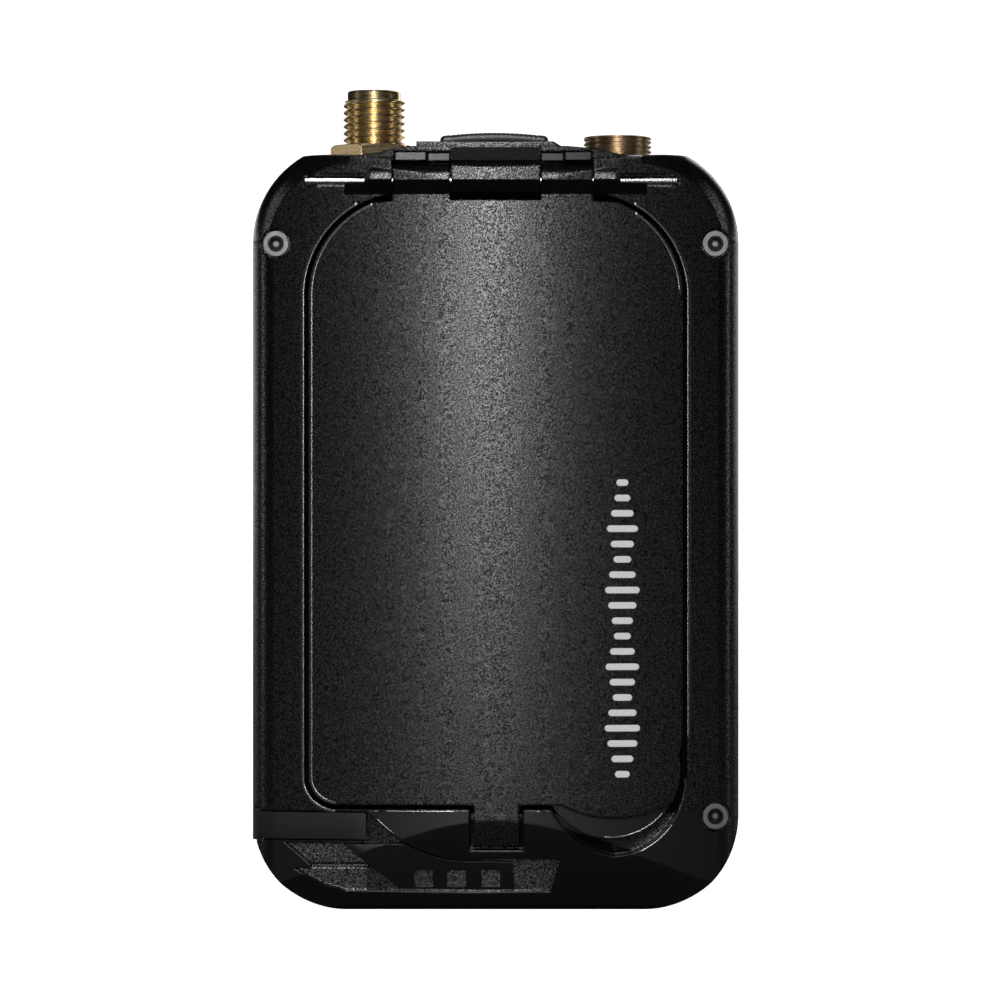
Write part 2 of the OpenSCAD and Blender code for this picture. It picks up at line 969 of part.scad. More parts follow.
module aaa_cell(i) {
  translate([i * cell_pitch, cell_y, cell_z]) {
    color([0.25, 0.35, 0.5])
      cylinder(h = cell_l, r = cell_d / 2);
    color([0.8, 0.8, 0.8])
      cylinder(h = cell_l + 1.2, r = 1.9);
  }
}

module cell_left() {
  aaa_cell(-1);
}

module cell_middle() {
  aaa_cell(0);
}

module cell_right() {
  aaa_cell(1);
}

// ---------- door ----------

// Face outline of the door without its knuckles.
module door_face() {
  door_outline(door_w / 2, door_z0, door_z1, 10, 2.8, 7);
  intersection() {
    grip_outline();
    translate([12.1, 20.8])
      circle(r = 11.25);
  }
  translate([-2.2, 6.75])
    square([4.55, 6]);
}

// Outline of the round lip a finger pulls the door open by.
module grip_outline() {
  intersection() {
    translate([grip_x, grip_z])
      circle(r = grip_r);
    square([door_w / 2, 30]);
  }
}

module door_panel() {
  color([0.12, 0.12, 0.13])
  difference() {
    union() {
      difference() {
        union() {
          intersection() {
            face_extrude(back_y - 1, 0)
              door_face();
            under_skin(0);
          }
          intersection() {
            face_extrude(back_y - 1, 0)
              grip_outline();
            under_skin(ledge_d);
          }
        }
        under_skin(door_t);
        // hollow edge that clears the case when the door swings
        hinge_rod(-20, 20, knuckle_r + 0.7);
        translate([-20, back_y - 1, hinge_z - 0.5])
          cube([40, 6, 8]);
      }
      for (span = [door_knuckle_l, door_knuckle_r])
        intersection() {
          union() {
            hinge_rod(span[0], span[1], knuckle_r);
            translate([span[0], -7.75, door_z1 - 2])
              cube([span[1] - span[0], 1.5, hinge_z - door_z1 + 2]);
          }
          under_skin(0);
        }
    }
    // room for the fixed knuckles and the hood
    translate([hood[0] - 0.12, back_y - 1, hinge_z - knuckle_r - 0.15])
      cube([hood[1] - hood[0] + 0.24, 6, 8]);
    hinge_rod(-20, 20, hinge_pin_d / 2 + 0.04);
  }
}

module door_hook() {
  color([0.7, 0.7, 0.72])
  difference() {
    translate([-1.7, -6.2, hook_z0])
      cube([3.9, 2.6, hook_z1 - hook_z0]);
    translate([-2, -5, hook_z0 - 1])
      cube([1, 1.2, 4]);
    difference() {
      translate([-3, back_y - 1, 0])
        cube([6, 6, 20]);
      under_skin(door_t);
    }
  }
}

module door_gasket() {
  color([0.25, 0.25, 0.26])
  difference() {
    intersection() {
      face_extrude(back_y, 0)
        difference() {
          door_outline(18.7, 11.1, 71.3, 9.8, 2.6, 6.8);
          door_outline(17.6, 12.2, 69, 8.7, 1.5, 5.7);
        }
      under_skin(door_t);
    }
    under_skin(door_t + seal_t - 0.02);
  }
}

module door_pad() {
  color([0.2, 0.2, 0.2])
  difference() {
    intersection() {
      translate([-3, back_y, 22])
        cube([6, 4, 30]);
      under_skin(door_t);
    }
    under_skin(door_t + 1);
  }
}

// ---------- latch ----------

module latch_slider() {
  color([0.1, 0.1, 0.1])
  union() {
    difference() {
      intersection() {
        face_extrude(back_y, latch_floor_y - 0.06)
          difference() {
            polygon([[-15.35, 6.95], [-9.75, 2.3], [1.9, 2.2], [1.7, 5.1], [-4.9, 5.3], [-7.4, 6.95]]);
            translate([-2.4, 18.9])
              circle(r = 13.75);
            for (x = [-8.3, -4.95, -1.5])
              translate([x, 2.5])
                square([1.95, 1.75]);
          }
        under_skin(0.15);
      }
    }
    // stem through the floor
    translate([-7, latch_floor_y - 0.1, 4.45])
      cube([2, 1.55, 0.6]);
  }
}

module latch_bolt() {
  color([0.7, 0.7, 0.72])
  translate([-8, -3.35, 3])
    cube([6.1, 1.1, 5.2]);
}

module latch_detent_spring() {
  color([0.75, 0.76, 0.78])
  translate([-14, -2.1, 3])
    difference() {
      cube([14, 0.4, 4.5]);
      translate([2, -1, 1.2])
        cube([10, 2, 0.5]);
    }
}

// ---------- button and port cap ----------

module power_button() {
  color([0.3, 0.3, 0.31])
  translate([button_x, 0, 0])
    union() {
      difference() {
        translate([-button_w / 2, -2.1, plateau_z + button_travel + 0.05])
          cube([button_w, 4.2, button_z - plateau_z - button_travel - 0.05]);
        for (i = [-4 : 4])
          translate([i * 0.9 - 0.12, -3, button_z - 0.2])
            cube([0.24, 6, 1]);
      }
      difference() {
        translate([0, 0, 74.7])
          cylinder(h = plateau_z + 1 - 74.7, r = 1);
        translate([0, 0, 74.9])
          difference() {
            cylinder(h = 0.42, r = 2);
            translate([0, 0, -1])
              cylinder(h = 2, r = 0.75);
          }
      }
    }
}

module button_clip() {
  color([0.7, 0.7, 0.72])
  translate([button_x, 0, 74.91])
    difference() {
      cylinder(h = 0.4, r = 1.7);
      translate([0, 0, -1])
        cylinder(h = 2, r = 0.76);
      translate([-0.6, 0, -1])
        cube([1.2, 3, 3]);
    }
}

// ---------- assembly ----------

main_housing();
front_cover();
case_gasket();
case_screws();
hinge_pin();
button_bezel();
status_window_left();
status_window_right();
pairing_led_lens();
sma_body();
sma_insulator();
sma_contact();
sma_nut();
sma_washer();
mic_barrel();
mic_insert();
mic_contacts();
main_board();
rf_shield();
radio_chip();
audio_chip();
tact_switch();
usb_shell();
usb_tongue();
port_board();
port_strap();
battery_tray();
battery_springs();
battery_contacts();
cell_left();
cell_middle();
cell_right();
door_panel();
door_gasket();
door_pad();
door_hook();
latch_slider();
latch_bolt();
latch_detent_spring();
power_button();
button_clip();
port_cap();
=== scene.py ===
import bpy
import math
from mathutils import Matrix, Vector


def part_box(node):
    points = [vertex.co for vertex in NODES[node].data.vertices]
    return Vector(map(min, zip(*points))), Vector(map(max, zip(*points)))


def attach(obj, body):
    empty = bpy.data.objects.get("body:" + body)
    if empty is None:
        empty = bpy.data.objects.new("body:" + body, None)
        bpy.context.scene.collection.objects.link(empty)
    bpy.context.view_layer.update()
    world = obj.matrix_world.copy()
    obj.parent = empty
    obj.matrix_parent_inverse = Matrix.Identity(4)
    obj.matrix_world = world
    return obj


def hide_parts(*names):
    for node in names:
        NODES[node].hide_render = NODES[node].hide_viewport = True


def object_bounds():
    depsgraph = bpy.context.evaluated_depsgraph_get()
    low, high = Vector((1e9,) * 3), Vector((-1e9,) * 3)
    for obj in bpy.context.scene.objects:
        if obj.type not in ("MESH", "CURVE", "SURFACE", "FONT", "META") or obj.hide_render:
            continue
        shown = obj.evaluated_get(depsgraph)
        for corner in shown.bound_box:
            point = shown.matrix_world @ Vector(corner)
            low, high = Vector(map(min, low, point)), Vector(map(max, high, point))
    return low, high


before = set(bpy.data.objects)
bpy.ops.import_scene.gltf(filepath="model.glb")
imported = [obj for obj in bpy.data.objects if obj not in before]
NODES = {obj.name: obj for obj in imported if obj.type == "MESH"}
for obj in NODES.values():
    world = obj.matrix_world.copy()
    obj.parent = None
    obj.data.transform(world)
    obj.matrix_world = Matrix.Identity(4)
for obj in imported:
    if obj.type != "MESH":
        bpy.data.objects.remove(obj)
CAD_LO, CAD_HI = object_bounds()
MM = 0.001
# where the finish of the case changes, and where shade and highlights are painted on it, in millimetres
BULGE_R = 110.0
INSIDE_Y = -3.0
RECESS_DEPTH = 0.55
POCKET_HALF, POCKET_LOW, POCKET_HIGH = 19.7, 9.9, 73.4
BARREL_HALF, BARREL_LOW, BARREL_MID = 15.3, 72.55, 74.05
TUCK_TOP, TUCK_BACK, FOOT_TOP = 10.35, -5.05, 1.85
CRESCENT_X, CRESCENT_Z, CRESCENT_R, CRESCENT_TOP, CRESCENT_LEFT = 12.1, 20.8, 11.3, 11.5, 5.0
SCREW_X, SCREW_TOP_Z, SCREW_LOW_Z = 22.3, 67.7, 9.6
SCREW_RING_R, SCREW_SPOT_R = 0.82, 0.28


# ---------------------------------------------------------------- materials
def new_material(name, base, rough, metal=0.0, coat=0.0, edge=0.12, spec=0.5):
    """A Principled surface whose normal goes through a small rounded edge."""
    m = bpy.data.materials.new(name)
    m.use_nodes = True
    nt = m.node_tree
    b = nt.nodes["Principled BSDF"]
    b.inputs["Base Color"].default_value = (*base, 1)
    b.inputs["Roughness"].default_value = rough
    b.inputs["Metallic"].default_value = metal
    b.inputs["Coat Weight"].default_value = coat
    b.inputs["Specular IOR Level"].default_value = spec
    bev = nt.nodes.new("ShaderNodeBevel")
    bev.samples = 6
    bev.inputs["Radius"].default_value = edge * MM
    nt.links.new(bev.outputs["Normal"], b.inputs["Normal"])
    co = nt.nodes.new("ShaderNodeTexCoord")
    return m, nt, b, bev, co


def add_bump(nt, b, bev, height, depth_mm, strength=1.0):
    bump = nt.nodes.new("ShaderNodeBump")
    bump.inputs["Distance"].default_value = depth_mm * MM
    bump.inputs["Strength"].default_value = strength
    nt.links.new(height, bump.inputs["Height"])
    nt.links.new(bev.outputs["Normal"], bump.inputs["Normal"])
    nt.links.new(bump.outputs["Normal"], b.inputs["Normal"])
    return bump


def noise(nt, co, per_mm, detail=2.0, rough=0.5):
    n = nt.nodes.new("ShaderNodeTexNoise")
    n.inputs["Scale"].default_value = per_mm / MM
    n.inputs["Detail"].default_value = detail
    n.inputs["Roughness"].default_value = rough
    nt.links.new(co.outputs["Object"], n.inputs["Vector"])
    return n


def ramp(nt, source, lo, hi, a, b):
    r = nt.nodes.new("ShaderNodeMapRange")
    r.inputs["From Min"].default_value = lo
    r.inputs["From Max"].default_value = hi
    r.inputs["To Min"].default_value = a
    r.inputs["To Max"].default_value = b
    nt.links.new(source, r.inputs["Value"])
    return r


def colour_mix(nt, fac, c1, c2):
    mix = nt.nodes.new("ShaderNodeMix")
    mix.data_type = "RGBA"
    mix.inputs[6].default_value = (*c1, 1)
    mix.inputs[7].default_value = (*c2, 1)
    nt.links.new(fac, mix.inputs[0])
    return mix


def math_node(nt, op, a, b=None, c=None):
    n = nt.nodes.new("ShaderNodeMath")
    n.operation = op
    for k, v in enumerate((a, b, c)):
        if v is None:
            continue
        if isinstance(v, (int, float)):
            n.inputs[k].default_value = v
        else:
            nt.links.new(v, n.inputs[k])
    return n.outputs[0]


def product(nt, first, *rest):
    """All the factors multiplied together."""
    for factor in rest:
        first = math_node(nt, "MULTIPLY", first, factor)
    return first


def above(nt, a, limit):
    return math_node(nt, "GREATER_THAN", a, limit)


def below(nt, a, limit):
    return math_node(nt, "LESS_THAN", a, limit)


def length(nt, a, b):
    """Length of a flat vector."""
    both = math_node(nt, "ADD", math_node(nt, "MULTIPLY", a, a), math_node(nt, "MULTIPLY", b, b))
    return math_node(nt, "SQRT", both)


def place(nt, co):
    """The point's x, y and z in millimetres."""
    sep = nt.nodes.new("ShaderNodeSeparateXYZ")
    nt.links.new(co.outputs["Object"], sep.inputs[0])
    return [math_node(nt, "DIVIDE", sep.outputs[k], MM) for k in range(3)]


def vector_math(nt, op, a, b):
    n = nt.nodes.new("ShaderNodeVectorMath")
    n.operation = op
    nt.links.new(a, n.inputs[0])
    nt.links.new(b, n.inputs[1])
    return n


def bulge_normal(nt, co, bev):
    """The rounded-edge normal with the flats of the bulged face smoothed out."""
    x, y, z = place(nt, co)
    com = nt.nodes.new("ShaderNodeCombineXYZ")
    nt.links.new(math_node(nt, "DIVIDE", x, BULGE_R), com.inputs["X"])
    com.inputs["Y"].default_value = -1.0
    turn = nt.nodes.new("ShaderNodeVectorTransform")
    turn.vector_type = "NORMAL"
    turn.convert_from, turn.convert_to = "OBJECT", "WORLD"
    nt.links.new(com.outputs[0], turn.inputs[0])
    geo = nt.nodes.new("ShaderNodeNewGeometry")
    near = vector_math(nt, "DOT_PRODUCT", turn.outputs[0], geo.outputs["Normal"]).outputs["Value"]
    flat = math_node(nt, "GREATER_THAN", near, 0.993)
    gap = vector_math(nt, "SUBTRACT", turn.outputs[0], geo.outputs["Normal"])
    part = nt.nodes.new("ShaderNodeVectorMath")
    part.operation = "SCALE"
    nt.links.new(gap.outputs[0], part.inputs[0])
    nt.links.new(flat, part.inputs["Scale"])
    total = vector_math(nt, "ADD", bev.outputs[0], part.outputs[0])
    unit = nt.nodes.new("ShaderNodeVectorMath")
    unit.operation = "NORMALIZE"
    nt.links.new(total.outputs[0], unit.inputs[0])
    return unit.outputs[0]


def powder(name, base, rough, per_mm=5.5, depth=0.007, edge=0.22, smooth=None, smooth_rough=0.3):
    """Fine textured powder coat; the smooth mask gives where the coat is plain satin, and the pocket and the
    hinge barrels' undersides get painted shade.
    """
    m, nt, b, bev, co = new_material(name, base, rough, edge=edge)
    grain = noise(nt, co, per_mm, 1.0, 0.5)
    fine = noise(nt, co, per_mm * 2.7, 0.0, 0.5)
    h = math_node(nt, "MULTIPLY_ADD", fine.outputs["Fac"], 0.25, grain.outputs["Fac"])
    bump = add_bump(nt, b, bev, h, depth)
    nt.links.new(bulge_normal(nt, co, bev), bump.inputs["Normal"])
    patch = noise(nt, co, per_mm * 0.8, 1.0, 0.5)
    mix = colour_mix(nt, patch.outputs["Fac"], [c * 0.5 for c in base], [c * 1.5 for c in base])
    nt.links.new(mix.outputs[2], b.inputs["Base Color"])
    rr = ramp(nt, patch.outputs["Fac"], 0.35, 0.65, rough + 0.02, rough - 0.02).outputs[0]
    glint = noise(nt, co, per_mm * 1.35, 0.0, 0.5)
    level = ramp(nt, glint.outputs["Fac"], 0.36, 0.68, 0.12, 1.25).outputs[0]
    if smooth:
        mask = smooth(nt, place(nt, co))
        nt.links.new(math_node(nt, "SUBTRACT", 1.0, mask), bump.inputs["Strength"])
        keep = math_node(nt, "MULTIPLY", rr, math_node(nt, "SUBTRACT", 1.0, mask))
        rr = math_node(nt, "MULTIPLY_ADD", mask, smooth_rough, keep)
        # painted shade: in the pocket and under the hinge barrels the coat gets full roughness and its
        # specular level drops to 15 percent
        painted_shade = painted_shade_zone(nt, place(nt, co))
        rr = math_node(nt, "MAXIMUM", rr, painted_shade)
        grainy = math_node(nt, "MULTIPLY", level, math_node(nt, "SUBTRACT", 1.0, mask))
        plain = math_node(nt, "MULTIPLY_ADD", mask, 0.5, grainy)
        shade_dimming = math_node(nt, "SUBTRACT", 1.0, math_node(nt, "MULTIPLY", painted_shade, 0.85))
        level = math_node(nt, "MULTIPLY", plain, shade_dimming)
    nt.links.new(rr, b.inputs["Roughness"])
    nt.links.new(level, b.inputs["Specular IOR Level"])
    return m


def painted_shade_zone(nt, at):
    """1 on the pocket's walls and floor, which lie below the bulged face, and under the hinge barrels, where
    shade is painted on.
    """
    x, y, z = at
    across = math_node(nt, "ABSOLUTE", x)
    front = below(nt, y, INSIDE_Y)
    sag = math_node(nt, "DIVIDE", math_node(nt, "MULTIPLY", x, x), 2 * BULGE_R)
    deep = above(nt, math_node(nt, "SUBTRACT", y, sag), CAD_LO[1] / MM + RECESS_DEPTH)
    pocket_z = product(nt, above(nt, z, POCKET_LOW), below(nt, z, POCKET_HIGH))
    pocket = product(nt, deep, below(nt, across, POCKET_HALF), front, pocket_z)
    barrel_z = product(nt, above(nt, z, BARREL_LOW), below(nt, z, BARREL_MID))
    barrel = product(nt, barrel_z, below(nt, across, BARREL_HALF), front)
    return math_node(nt, "MAXIMUM", pocket, barrel)


def case_smooth(nt, at):
    """Plain satin on the tuck-under below the door and round the foot."""
    x, y, z = at
    low = product(nt, below(nt, z, TUCK_TOP), below(nt, y, TUCK_BACK))
    return math_node(nt, "MAXIMUM", low, below(nt, z, FOOT_TOP))


def door_smooth(nt, at):
    """Plain satin on the crescent a finger pulls."""
    x, y, z = at
    far = length(nt, math_node(nt, "SUBTRACT", x, CRESCENT_X), math_node(nt, "SUBTRACT", z, CRESCENT_Z))
    return product(nt, above(nt, far, CRESCENT_R), below(nt, z, CRESCENT_TOP), above(nt, x, CRESCENT_LEFT))


def satin(name, base, rough, metal=0.0, coat=0.0, per_mm=3.0, depth=0.004, edge=0.12, vary=0.15, spec=0.5):
    """Moulded or machined surface with faint mottling."""
    m, nt, b, bev, co = new_material(name, base, rough, metal, coat, edge, spec)
    n = noise(nt, co, per_mm, 3.0, 0.6)
    add_bump(nt, b, bev, n.outputs["Fac"], depth)
    rr = ramp(nt, n.outputs["Fac"], 0.3, 0.7, rough * (1 - vary), rough * (1 + vary))
    nt.links.new(rr.outputs[0], b.inputs["Roughness"])
    mix = colour_mix(nt, n.outputs["Fac"], [c * 0.92 for c in base], [min(1, c * 1.08) for c in base])
    nt.links.new(mix.outputs[2], b.inputs["Base Color"])
    return m


def turned(name, base, rough, per_mm=8.0, depth=0.002, axis="Z"):
    """Turned metal: fine rings along one axis."""
    m, nt, b, bev, co = new_material(name, base, rough, metal=1.0, edge=0.08)
    mp = nt.nodes.new("ShaderNodeMapping")
    s = {"X": (1, 0.05, 0.05), "Y": (0.05, 1, 0.05), "Z": (0.05, 0.05, 1)}[axis]
    mp.inputs["Scale"].default_value = s
    nt.links.new(co.outputs["Object"], mp.inputs["Vector"])
    n = nt.nodes.new("ShaderNodeTexNoise")
    n.inputs["Scale"].default_value = per_mm / MM
    n.inputs["Detail"].default_value = 3
    nt.links.new(mp.outputs["Vector"], n.inputs["Vector"])
    add_bump(nt, b, bev, n.outputs["Fac"], depth)
    rr = ramp(nt, n.outputs["Fac"], 0.3, 0.7, rough * 0.8, rough * 1.25)
    nt.links.new(rr.outputs[0], b.inputs["Roughness"])
    return m


def screw_painted_light(m):
    """Painted highlight on the rim, painted shade in the hexagon socket and a painted highlight at the bottom
    of the socket, round each screw's axis.
    """
    nt = m.node_tree
    co = nt.nodes.new("ShaderNodeTexCoord")
    x, y, z = place(nt, co)
    dx = math_node(nt, "SUBTRACT", math_node(nt, "ABSOLUTE", x), SCREW_X)
    up = math_node(nt, "SUBTRACT", z, SCREW_TOP_Z)
    down = math_node(nt, "SUBTRACT", z, SCREW_LOW_Z)
    dz = math_node(nt, "MINIMUM", math_node(nt, "ABSOLUTE", up), math_node(nt, "ABSOLUTE", down))
    d = length(nt, dx, dz)
    ring = above(nt, d, SCREW_RING_R)
    spot = below(nt, d, SCREW_SPOT_R)
    # dark base is painted shade in the socket; light base is a painted highlight on the rim and at the
    # socket's bottom
    mix = colour_mix(nt, math_node(nt, "MAXIMUM", ring, spot), (0.012, 0.012, 0.013), (0.13, 0.13, 0.135))
    nt.links.new(mix.outputs[2], nt.nodes["Principled BSDF"].inputs["Base Color"])


M = {}
M["case"] = powder("case_powder_coat", (0.0018, 0.0018, 0.0019), 0.265, edge=0.3, smooth=case_smooth)
M["door"] = powder("door_powder_coat", (0.002, 0.002, 0.0021), 0.265, edge=0.3,
                   smooth=door_smooth, smooth_rough=0.34)
# bright metal for the thin edge beads: painted highlights along the edges of the black coat
M["rim"] = satin("edge_highlight_metal", (0.19, 0.19, 0.195), 0.26, metal=1.0, per_mm=5.0, depth=0.008, edge=0.03)
M["hood"] = satin("hood_moulding", (0.004, 0.004, 0.0042), 0.6, depth=0.004, spec=0.22)
M["gold"] = turned("gold_plate", (0.90, 0.69, 0.38), 0.27)
M["bronze"] = turned("bronze_plate", (0.62, 0.47, 0.31), 0.3)
M["steel"] = satin("bright_steel", (0.72, 0.72, 0.74), 0.22, metal=1.0)
M["spring"] = satin("nickel_strip", (0.75, 0.74, 0.71), 0.28, metal=1.0)
M["screw"] = satin("black_oxide_steel", (0.055, 0.055, 0.058), 0.36, metal=1.0)
screw_painted_light(M["screw"])
M["pin"] = turned("hinge_pin_steel", (0.3, 0.3, 0.31), 0.16, axis="X")
M["smoked"] = satin("smoked_window", (0.004, 0.004, 0.0045), 0.16, depth=0.0005, edge=0.18, spec=0.16)
M["lens"] = satin("frosted_lens", (0.55, 0.60, 0.55), 0.3, coat=0.3)
M["ptfe"] = satin("white_ptfe", (0.86, 0.86, 0.82), 0.45)
M["black"] = satin("black_moulding", (0.007, 0.007, 0.0075), 0.42, depth=0.006)
M["slider"] = satin("latch_moulding", (0.0045, 0.0045, 0.005), 0.36, depth=0.01)
M["rubber"] = satin("black_rubber", (0.011, 0.011, 0.011), 0.55, depth=0.01, spec=0.35)
M["foam"] = satin("grey_foam", (0.03, 0.03, 0.03), 0.9, per_mm=2.0, depth=0.08)
M["board"] = satin("green_board", (0.01, 0.09, 0.035), 0.35, coat=0.4)
M["chip"] = satin("chip_moulding", (0.015, 0.015, 0.016), 0.5)
M["button"] = satin("button_moulding", (0.012, 0.012, 0.013), 0.3, depth=0.004, edge=0.15)
M["bezel"] = powder("bezel_powder_coat", (0.004, 0.004, 0.0042), 0.24, depth=0.015, edge=0.1)
M["print"] = satin("white_print", (0.78, 0.78, 0.76), 0.5, depth=0.004)


def cell_material():
    m, nt, b, bev, co = new_material("cell_sleeve", (0.03, 0.06, 0.14), 0.25, coat=0.4)
    sep = nt.nodes.new("ShaderNodeSeparateXYZ")
    nt.links.new(co.outputs["Object"], sep.inputs[0])
    z0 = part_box("cell_middle")[0][2]
    band = ramp(nt, sep.outputs["Z"], z0 + 33.0 * MM, z0 + 33.2 * MM, 0.0, 1.0)
    body = colour_mix(nt, band.outputs[0], (0.02, 0.045, 0.12), (0.55, 0.33, 0.10))
    cap = ramp(nt, sep.outputs["Z"], z0 + 43.28 * MM, z0 + 43.32 * MM, 0.0, 1.0)
    mix = nt.nodes.new("ShaderNodeMix")
    mix.data_type = "RGBA"
    mix.inputs[7].default_value = (0.72, 0.72, 0.74, 1)
    nt.links.new(cap.outputs[0], mix.inputs[0])
    nt.links.new(body.outputs[2], mix.inputs[6])
    nt.links.new(mix.outputs[2], b.inputs["Base Color"])
    nt.links.new(cap.outputs[0], b.inputs["Metallic"])
    n = noise(nt, co, 4.0)
    add_bump(nt, b, bev, n.outputs["Fac"], 0.003)
    return m


M["cell"] = cell_material()

LOOK = {
    "main_housing": "case", "front_cover": "case", "case_gasket": "rubber", "case_screws": "screw",
    "hinge_pin": "pin", "button_bezel": "bezel", "status_window_left": "smoked",
    "status_window_right": "smoked", "pairing_led_lens": "lens", "sma_body": "gold",
    "sma_insulator": "ptfe", "sma_contact": "gold", "sma_nut": "gold", "sma_washer": "gold",
    "mic_barrel": "bronze", "mic_insert": "black", "mic_contacts": "gold", "main_board": "board",
    "rf_shield": "steel", "radio_chip": "chip", "audio_chip": "chip", "tact_switch": "black",
    "usb_shell": "steel", "usb_tongue": "black", "port_board": "board", "port_strap": "rubber",
    "battery_tray": "black", "battery_springs": "spring", "battery_contacts": "spring",
    "cell_left": "cell", "cell_middle": "cell", "cell_right": "cell", "door_panel": "door",
    "door_gasket": "rubber", "door_pad": "foam", "door_hook": "steel", "latch_slider": "slider",
    "latch_bolt": "steel", "latch_detent_spring": "spring", "power_button": "button",
    "button_clip": "steel", "port_cap": "rubber",
}
for name, o in NODES.items():
    o.data.materials.clear()
    o.data.materials.append(M[LOOK[name]])


# ---------------------------------------------------------------- helpers
def add_mesh(name, verts, faces, material, body, smooth=True):
    me = bpy.data.meshes.new(name)
    me.from_pydata([tuple(v) for v in verts], [], faces)
    me.update()
    o = bpy.data.objects.new(name, me)
    bpy.context.scene.collection.objects.link(o)
    me.materials.append(M[material])
    for p in me.polygons:
        p.use_smooth = smooth
    if body:
        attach(o, body)
    return o


def thread_radius(turns, depth):
    """Depth below the crest at a fraction of one thread: flat crest, sloped flanks, flat root."""
    f = turns % 1.0
    if f < 0.125:
        return 0.0
    if f < 0.45:
        return depth * (f - 0.125) / 0.325
    if f < 0.62:
        return depth
    if f < 0.95:
        return depth * (0.95 - f) / 0.33
    return 0.0


def threaded_tube(name, cx, cy, rows, inner, pitch, depth, material, body, around=72):
    """A lathed wall: rows are (z, radius, threaded 0 to 1), inner rows are (z, radius) going back down."""
    verts, faces = [], []
    path = [(z, r, t) for z, r, t in rows] + [(z, r, 0.0) for z, r in inner]
    for z, r, t in path:
        for k in range(around):
            a = 2 * math.pi * k / around
            d = thread_radius(z / pitch + k / around, depth) * t
            verts.append((cx + (r - d) * math.cos(-a), cy + (r - d) * math.sin(-a), z))
    rings = len(path)
    for i in range(rings):
        j = (i + 1) % rings
        for k in range(around):
            n = (k + 1) % around
            faces.append((i * around + k, i * around + n, j * around + n, j * around + k))
    return add_mesh(name, verts, faces, material, body)


# ---------------------------------------------------------------- antenna socket with its real thread
lo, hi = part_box("sma_body")
cx, cy = (lo[0] + hi[0]) / 2, (lo[1] + hi[1]) / 2
top = hi[2]
R = 3.175 * MM
flange_r = (hi[0] - lo[0]) / 2
nut_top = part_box("sma_nut")[1][2]
rows = [(lo[2], R - 0.3 * MM, 0), (lo[2] + 3.39 * MM, R - 0.3 * MM, 0), (lo[2] + 3.4 * MM, flange_r, 0),
        (lo[2] + 4.95 * MM, flange_r, 0), (lo[2] + 4.96 * MM, R - 0.3 * MM, 0),
        (nut_top - 0.01 * MM, R - 0.3 * MM, 0)]
z = nut_top
end = top - 1.0 * MM
steps = 96
for i in range(steps + 1):
    rows.append((z + (end - z) * i / steps, R, 1.0 if 1 < i < steps - 2 else 0.4))
rows += [(end + 0.02 * MM, 2.82 * MM, 0), (end + 0.1 * MM, 2.75 * MM, 0),
         (top - 0.12 * MM, 2.75 * MM, 0), (top, 2.63 * MM, 0)]
inner = [(top, 2.42 * MM), (top - 0.1 * MM, 2.3 * MM), (top - 1.9 * MM, 2.3 * MM),
         (top - 1.91 * MM, 2.05 * MM), (lo[2], 2.05 * MM)]
sma = threaded_tube("sma_threaded_body", cx, cy, rows, inner, 0.7056 * MM, 0.36 * MM, "gold", "housing")
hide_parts("sma_body")

# microphone socket barrel
lo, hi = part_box("mic_barrel")
cx, cy = (lo[0] + hi[0]) / 2, (lo[1] + hi[1]) / 2
top = hi[2]
R = 3.5 * MM
zf = lo[2] + 5.6 * MM
rows = [(lo[2], R - 0.3 * MM, 0), (zf - 0.01 * MM, R - 0.3 * MM, 0),
        (zf, 4.2 * MM, 0), (zf + 1.35 * MM, 4.2 * MM, 0),
        (zf + 1.36 * MM, R - 0.3 * MM, 0), (top - 2.1 * MM, R - 0.3 * MM, 0)]
for i in range(61):
    rows.append((top - 2.1 * MM + 1.85 * MM * i / 60, R, 1.0))
rows += [(top - 0.2 * MM, R - 0.02 * MM, 0), (top - 0.06 * MM, R - 0.04 * MM, 0), (top, R - 0.14 * MM, 0)]
inner = [(top, 2.66 * MM), (top - 0.12 * MM, 2.5 * MM), (lo[2] + 4.5 * MM, 2.5 * MM),
         (lo[2] + 4.49 * MM, 2.2 * MM), (lo[2], 2.2 * MM)]
mic = threaded_tube("mic_threaded_barrel", cx, cy, rows, inner, 0.5 * MM, 0.2 * MM, "bronze", "housing", 80)
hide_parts("mic_barrel")


# ---------------------------------------------------------------- rounded edges on moulded pieces
def soften(node, width_mm, segments=3, angle=32):
    """Joins the split vertices of a carried-over piece and rounds its edges."""
    o = NODES[node]
    w = o.modifiers.new("weld", "WELD")
    w.merge_threshold = 0.002 * MM
    b = o.modifiers.new("round_edges", "BEVEL")
    b.width = width_mm * MM
    b.segments = segments
    b.limit_method = "ANGLE"
    b.angle_limit = math.radians(angle)
    b.use_clamp_overlap = True
    b.harden_normals = True


soften("button_bezel", 0.28)
soften("status_window_left", 0.12)
soften("status_window_right", 0.12)
soften("latch_slider", 0.1)
soften("port_strap", 0.12)
soften("sma_nut", 0.06)


